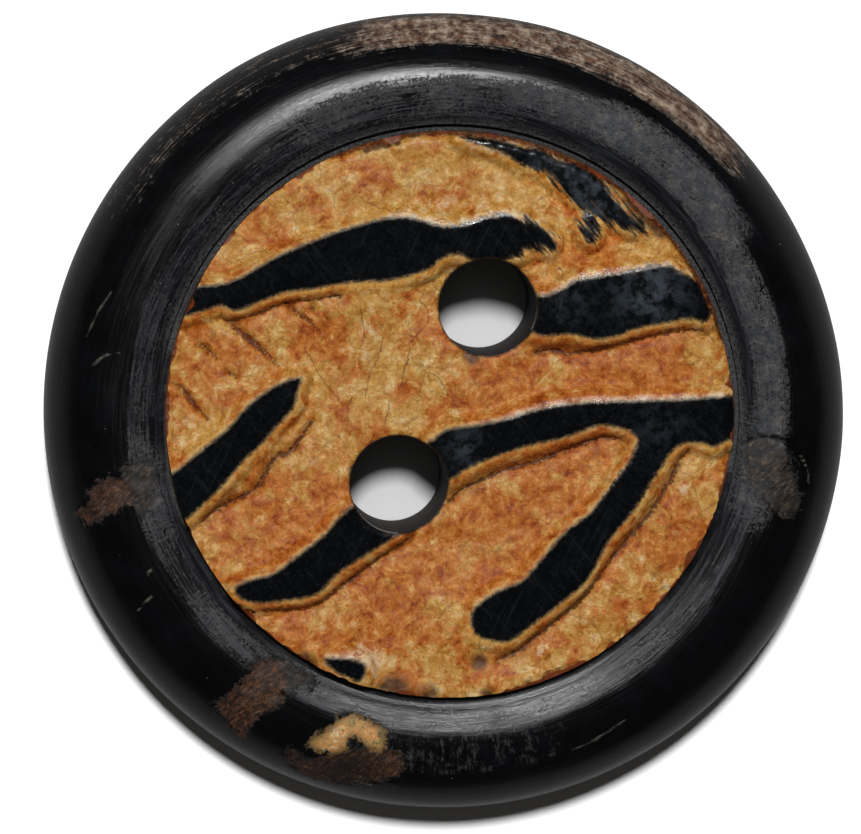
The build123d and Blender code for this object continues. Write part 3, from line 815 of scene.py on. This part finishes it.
def makeHorn():
    # Dark natural horn, turned on a lathe and buffed: black and glossy on the bead, with hair scratches round
    # and across it, dull turning lines on the inner cone, grey scuffs, and brown bark left in low places
    material, add, place, read = startMaterial("polishedHorn", rimLayers)
    flat = add("VectorMath", place, (1, 1, 0), operation="MULTIPLY")
    heading = add("VectorMath", flat, operation="NORMALIZE")
    # two streak patterns: along the turning, and across it, which is about 14 mm from the middle
    alongPlace, hairPlace = (
        add("VectorMath", add("VectorMath", {0: heading, "Scale": around}, operation="SCALE"),
            add("CombineXYZ", {"Z": add("Math", read["across"], crossing, operation="MULTIPLY")}),
            operation="ADD")
        for around, crossing in ((5.0, hornPolish["turningLines"]), (14.0 * hornPolish["hairLines"], 1.8)))
    tangled = add("Mapping", {"Vector": place, "Rotation": (0, 0, math.radians(40)), "Scale": (1.6, 0.6, 1.0)},
                  vector_type="TEXTURE")
    streaks, hairs, strokes, clouds, specks, fringe, grit, tangle = (
        add("TexNoise", {"Vector": where, "Scale": perMm, "Detail": detail, "Roughness": rough,
                         "Distortion": twist})
        for where, perMm, detail, rough, twist in (
            (alongPlace, 1.0, 7.0, 0.75, 0.0), (hairPlace, 1.2, 5.0, 0.75, 0.0),
            (hairPlace, 0.42, 4.0, 0.65, 0.0), (place, 0.5, 6.0, 0.65, 0.0), (place, 5.5, 5.0, 0.78, 0.0),
            (place, 2.2, 6.0, 0.75, 0.0), (place, 8.0, 4.0, 0.8, 0.0), (tangled, 4.5, 8.0, 0.8, 0.5)))
    body = add("ValToRGB", clouds, stops=[(0.4, "#050506"), (0.6, "#08090B"), (0.75, "#101114")])
    # the cone was left from the turning tool and is dull, the bead buffed
    coneEdge = add("Math", clouds, -0.9, read["across"], operation="MULTIPLY_ADD")
    cone = add("MapRange", coneEdge, 1.16, 1.34, 1.0, 0.0)
    onCone = add("Math", cone, read["onRim"], operation="MULTIPLY")
    coneShare = add("Math", onCone, 0.8, operation="MULTIPLY")
    coneTone = add("ValToRGB", streaks, stops=[(0.36, "#090A0B"), (0.5, "#131417"), (0.64, "#2A2C31")])
    # grey scuffs on the crest and the cone, in grains and short streaks
    grains = add("Math", grit, 1.6, streaks, operation="MULTIPLY_ADD")
    grains = add("Math", clouds, 0.9, grains, operation="MULTIPLY_ADD")
    grains = add("Math", grains, 0.35, operation="SUBTRACT")
    scuffLevel = add("Math", read["scuff"], 0.5, grains, operation="MULTIPLY_ADD")
    scuffMask = add("MapRange", scuffLevel, 1.45, 2.3)
    scuffOn = add("MapRange", read["scuff"], 0.0, 0.2)
    scuffShare = add("Math", scuffMask, scuffOn, operation="MULTIPLY")
    scuffTone = add("ValToRGB", fringe, stops=[(0.4, "#2E3138"), (0.53, "#4E4F52"), (0.63, "#70695F")])
    # brown-grey weathered band along the outer side, with a faint painted reflection of the paper at the upper
    # left
    stainGrains = add("Math", streaks, 2.2, specks, operation="MULTIPLY_ADD")
    stainGrains = add("Math", fringe, stainGrains, operation="ADD")
    stainLevel = add("Math", read["stain"], 0.75, stainGrains, operation="MULTIPLY_ADD")
    stainMask = add("MapRange", stainLevel, 2.5, 3.0, 0.0, 0.95)
    stainOn = add("MapRange", read["stain"], 0.05, 0.4)
    stainShare = add("Math", stainMask, stainOn, operation="MULTIPLY")
    stainTone = add("ValToRGB", fringe, stops=[(0.38, "#3A2418"), (0.45, "#7A4E34"), (0.5, "#7E6A5A"),
                                               (0.56, "#94806E"), (0.64, "#B09A86")])
    # dust in the groove and at the cone's foot
    atFoot = add("MapRange", read["across"], 0.33, 0.8, read["dust"], 0.0)
    dustGrains = add("MapRange", grit, 0.4, 0.6, 0.0, 0.6)
    footDust = add("Math", atFoot, dustGrains, operation="MULTIPLY")
    # grey hair streaks below the cone
    strokesHere = add("Math", fringe, 0.6, strokes, operation="MULTIPLY_ADD")
    strokesHere = add("Math", strokesHere, hairs, operation="ADD")
    hairMask = add("MapRange", strokesHere, 1.28, 1.6, 0.0, 0.8)
    onlyLow = add("MapRange", read["haze"], 0.4, 0.9)
    onlyLow = add("MapRange", fringe, 0.44, 0.6, 0.0, onlyLow)
    hairShare = add("Math", hairMask, onlyLow, operation="MULTIPLY")
    # bark left in the low places of the rim: brown, tan and frayed grey, each with a frayed edge
    fringeAway, specksAway, streakAway = (
        add("Math", pattern, 0.5, operation="SUBTRACT") for pattern in (fringe, specks, streaks))
    masks = []
    for field, fray in ((read["fibre"], 1.6), (read["brown"], 1.3), (read["tan"], 1.5)):
        edge = add("Math", fringeAway, fray, field, operation="MULTIPLY_ADD")
        edge = add("Math", specksAway, 0.9, edge, operation="MULTIPLY_ADD")
        masks.append(add("MapRange", edge, -0.1, 0.06, 1.0, 0.0))
    fibreMask, brownMask, tanMask = masks
    frayed = add("Mix", {0: 0.15, 2: tangle, 3: strokes})
    fibreTone = add("ValToRGB", frayed, stops=[(0.42, "#0A0908"), (0.5, "#241D18"), (0.57, "#4A3D32"),
                                               (0.65, "#7A6650"), (0.75, "#A8947C")])
    fibreHere = add("MapRange", fringe, 0.38, 0.55, 0.2, 0.95)
    fibreShare = add("Math", fibreMask, fibreHere, operation="MULTIPLY")
    brownTone = add("ValToRGB", frayed, stops=[(0.38, "#0A0706"), (0.47, "#24160E"), (0.54, "#442A1A"),
                                               (0.62, "#6A4A32"), (0.74, "#A07E5E")])
    tanTone = add("ValToRGB", fringe, stops=[(0.36, "#6A5A38"), (0.44, "#B0905C"), (0.5, "#B87A3C"),
                                             (0.56, "#C8A470"), (0.64, "#D6C29C")])
    orange = add("MapRange", fringe, 0.56, 0.66, 0.0, 0.4)
    brownTone = add("Mix", {0: orange, 6: brownTone, 7: "#8A5224"}, data_type="RGBA")
    darker = add("Math", read["dirt"], 0.75, operation="MULTIPLY")
    brownTone = add("Mix", {0: darker, 6: brownTone, 7: "#0C0908"}, data_type="RGBA")
    tanStain = add("MapRange", specks, 0.52, 0.64, 0.0, 0.6)
    tanSide = add("MapRange", read["tan"], -0.35, -0.05, 0.0, 0.75)
    tanStain = add("Math", tanStain, tanSide, operation="MAXIMUM")
    tanTone = add("Mix", {0: tanStain, 6: tanTone, 7: "#4A3E22"}, data_type="RGBA")
    # cracks, sunk in and painted black as the shadow below their step; pale scratches, dust in the pores, and
    # the walls of the holes
    crackLine = add("MapRange", read["rimCrack"], -0.02, 0.06, 1.0, 0.0)
    scratchEdge = add("Math", fringeAway, 0.2, read["rimScratch"], operation="MULTIPLY_ADD")
    scratchLine = add("MapRange", scratchEdge, -0.02, 0.04, 0.35, 0.0)
    pores = add("TexVoronoi", {"Vector": place, "Scale": 1.3})
    poreSize = add("MapRange", pores.outputs["Distance"], 0.02, 0.05, 0.8, 0.0)
    poreHere = add("MapRange", specks, 0.45, 0.6)
    poreDust = add("Math", poreSize, poreHere, operation="MULTIPLY")
    inHole = add("MapRange", read["cut"], 0.3, 0.6)
    holeTone = add("ValToRGB", specks, stops=[(0.4, "#14110F"), (0.55, "#2C2722"), (0.7, "#5A5046")])
    # shine: the buffed bead mirrors, and all that is worn, left or dusty is dull
    worn = scuffShare
    for share in (stainShare, footDust, brownMask, tanMask, fibreMask):
        worn = add("Math", worn, share, operation="ADD", use_clamp=True)
    rough = add("Mix", {0: onCone, 2: hornPolish["roughness"], 3: hornPolish["turnedRoughness"]})
    rough = add("Mix", {0: read["sheen"], 2: rough, 3: 0.2})
    rough = add("Math", streakAway, 0.6, rough, operation="MULTIPLY_ADD")
    dull = add("Math", worn, inHole, operation="MAXIMUM")
    rough = add("Mix", {0: dull, 2: rough, 3: 0.6})
    rough = add("Math", rough, 0.08, operation="MAXIMUM")
    # relief: turning lines on the cone, hair scratches across the bead, crumbs where bark is left
    turnedDepth = add("Mix", {0: onCone, 2: 1.1, 3: 1.6})
    turnedDepth = add("Math", read["sheen"], 0.5, turnedDepth, operation="MULTIPLY_ADD")
    hairDepth = add("MapRange", read["haze"], 0.0, 1.0, 0.3, 0.9)
    wornDepth = add("Math", worn, 4.0, operation="MULTIPLY")
    hazeDepth = add("MapRange", read["haze"], 0.0, 0.4)
    relief = 0.0
    for pattern, depth in ((streaks, turnedDepth), (hairs, hairDepth),
                           (specks, wornDepth), (specks, hazeDepth)):
        relief = add("Math", pattern, depth, relief, operation="MULTIPLY_ADD")
    coats = [(coneShare, coneTone), (scuffShare, scuffTone), (stainShare, stainTone), (footDust, "#4C4B4C"),
             (hairShare, "#4A4A4C"), (fibreShare, fibreTone), (brownMask, brownTone), (tanMask, tanTone),
             (crackLine, "#030303"), (scratchLine, "#8A8478"), (poreDust, "#8A8A86"), (inHole, holeTone)]
    finishMaterial(add, body, coats, rough, relief, hornPolish)
    return material


buttonMesh.materials.append(makeBark())
buttonMesh.materials.append(makeHorn())
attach(hornButton, "root")
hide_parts("button")
print("materials made")

studio = {
    "floorSize": 1.5,
    "floorGap": 0.00002,
    "keyStrength": 3.4,
    "keyTilt": 23.0,  # degrees from straight above
    "keyHeading": 94.0,
    "keySize": 8.5,
    "fill": 0.03,
    "fillTint": (1.0, 0.96, 0.9, 1),
    "paper": 1.15,  # as the camera sees it
    "paperBounce": 0.75,  # as it lights the button
    "mirroredPaper": 0.26,  # as polished horn mirrors it
    # painted shade: the paper's tone under the button, greyer than the rest
    "paintedShadeUnder": 0.6,  # under the button
    "underFrom": 0.009,  # m from the middle, where it begins to brighten
    "underTo": 0.013,
    "sensorWidth": 36,
    "cameraDistance": 240.0,
    "frameWidth": 36.52,
    "tiltUp": 4.7,
    "tiltLeft": 3.8,
    "aim": (-0.62, -0.31, 2.1),
}
floorMesh = bpy.data.meshes.new("floor")
floorShape = bmesh.new()
bmesh.ops.create_grid(floorShape, x_segments=1, y_segments=1, size=studio["floorSize"])
floorShape.to_mesh(floorMesh)
floorShape.free()
floor = bpy.data.objects.new("floor", floorMesh)
floor.location.z = -studio["floorGap"]
bpy.context.collection.objects.link(floor)


def makePaper():
    # Plain matt white paper, with painted shade under the button, where the holes show it
    paper = bpy.data.materials.new("whitePaper")
    add = maker(paper)
    path = add("LightPath")
    reach = add("VectorMath", add("TexCoord").outputs["Object"], operation="LENGTH")
    under = add("MapRange", reach.outputs["Value"], studio["underFrom"], studio["underTo"],
                studio["paintedShadeUnder"], studio["paper"])
    seen = add("Mix", {0: path.outputs["Is Camera Ray"], 2: studio["paperBounce"], 3: under})
    mirrored = add("Math", path.outputs["Is Glossy Ray"], path.outputs["Is Transmission Ray"],
                   operation="MAXIMUM")
    tone = add("Mix", {0: mirrored, 2: seen, 3: studio["mirroredPaper"]})
    add("OutputMaterial", add("BsdfDiffuse", tone))
    return paper


floorMesh.materials.append(makePaper())

# white beyond the floor for the camera; black horn mirrors only a dim room
world = bpy.data.worlds.new("studio")
bpy.context.scene.world = world
add = maker(world)
dim = add("Background", studio["fillTint"], studio["fill"])
white = add("Background", (1, 1, 1, 1), 1.0)
add("OutputWorld", add("MixShader", add("LightPath").outputs["Is Camera Ray"], dim, white))


def fromAbove(tilt, heading):
    # unit vector that leans from the vertical towards a heading
    lean, turn = math.radians(tilt), math.radians(heading)
    return Vector((math.sin(lean) * math.cos(turn), math.sin(lean) * math.sin(turn), math.cos(lean)))


keyLight = bpy.data.lights.new("key", "SUN")
keyLight.energy = studio["keyStrength"]
keyLight.angle = math.radians(studio["keySize"])
key = bpy.data.objects.new("key", keyLight)
key.rotation_euler = fromAbove(studio["keyTilt"], studio["keyHeading"]).to_track_quat("Z", "Y").to_euler()
bpy.context.collection.objects.link(key)

cameraData = bpy.data.cameras.new("camera")
cameraData.sensor_width = studio["sensorWidth"]
cameraData.lens = studio["sensorWidth"] * studio["cameraDistance"] / studio["frameWidth"]
camera = bpy.data.objects.new("camera", cameraData)
leftward, upward = (math.tan(math.radians(studio[name])) for name in ("tiltLeft", "tiltUp"))
away = Vector((-leftward, upward, 1)).normalized()
camera.location = (Vector(studio["aim"]) + away * studio["cameraDistance"]) * mm
right = Vector((0, 1, 0)).cross(away).normalized()
camera.rotation_euler = Matrix((right, away.cross(right), away)).transposed().to_euler()
cameraData.clip_start = 0.01
cameraData.clip_end = 20
bpy.context.collection.objects.link(camera)
bpy.context.scene.camera = camera
bpy.context.scene.view_settings.view_transform = "Standard"
print("light and camera set")
